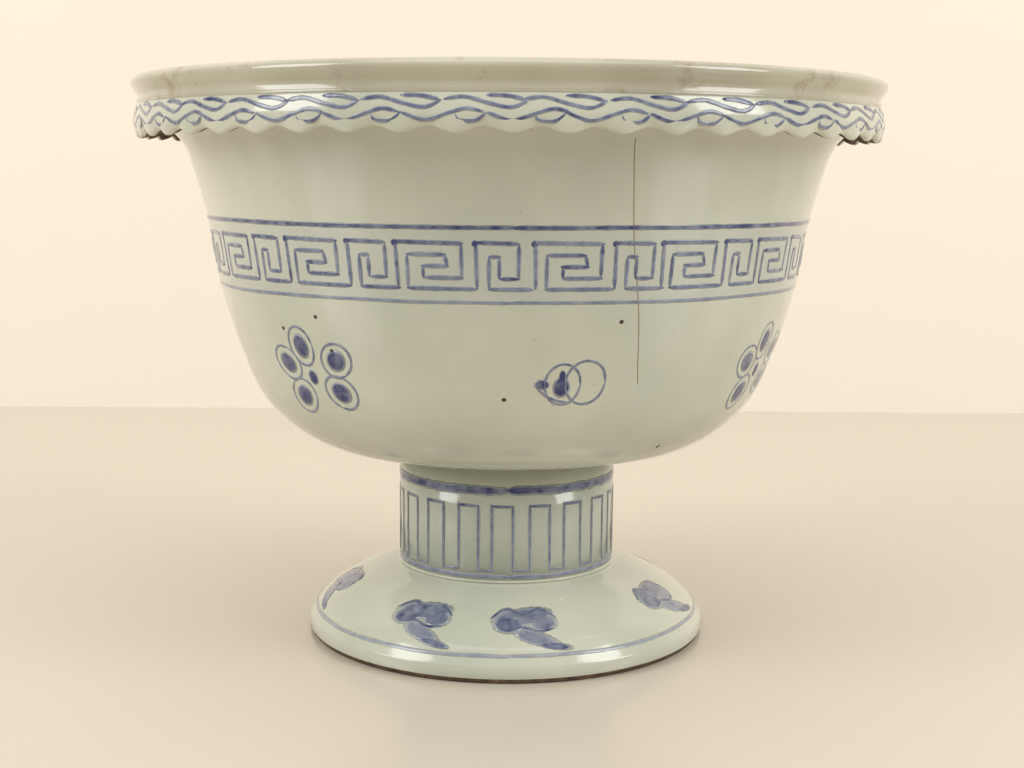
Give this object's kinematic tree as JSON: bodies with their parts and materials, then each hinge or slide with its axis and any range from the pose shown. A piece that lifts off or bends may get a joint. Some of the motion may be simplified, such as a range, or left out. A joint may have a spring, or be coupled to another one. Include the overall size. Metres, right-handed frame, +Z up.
{
  "type": "sake cup washing bowl",
  "caption": "Deep porcelain bowl with a rolled lip and scalloped skirt on a hollow high foot, for rinsing sake cups.",
  "frame": {"origin": "centre of the foot ring's resting face, on the surface the bowl stands on", "axes": "+Z up along the bowl's axis, -Y towards the viewer of the picture, +X to the viewer's right"},
  "size_m": [0.1608, 0.1608, 0.1208],
  "materials": {
    "glazed_porcelain": "glossy",
    "iron_lip_glaze": "glossy",
    "slip": "satin"
  },
  "bodies": {
    "root": {"foot": "glazed_porcelain", "foot_stem_lute": "slip", "stem": "glazed_porcelain", "stem_bowl_lute": "slip", "bowl": "glazed_porcelain", "rim_skirt": "glazed_porcelain", "rim_lute": "slip", "rim_lip": "iron_lip_glaze"}
  },
  "joints": []
}
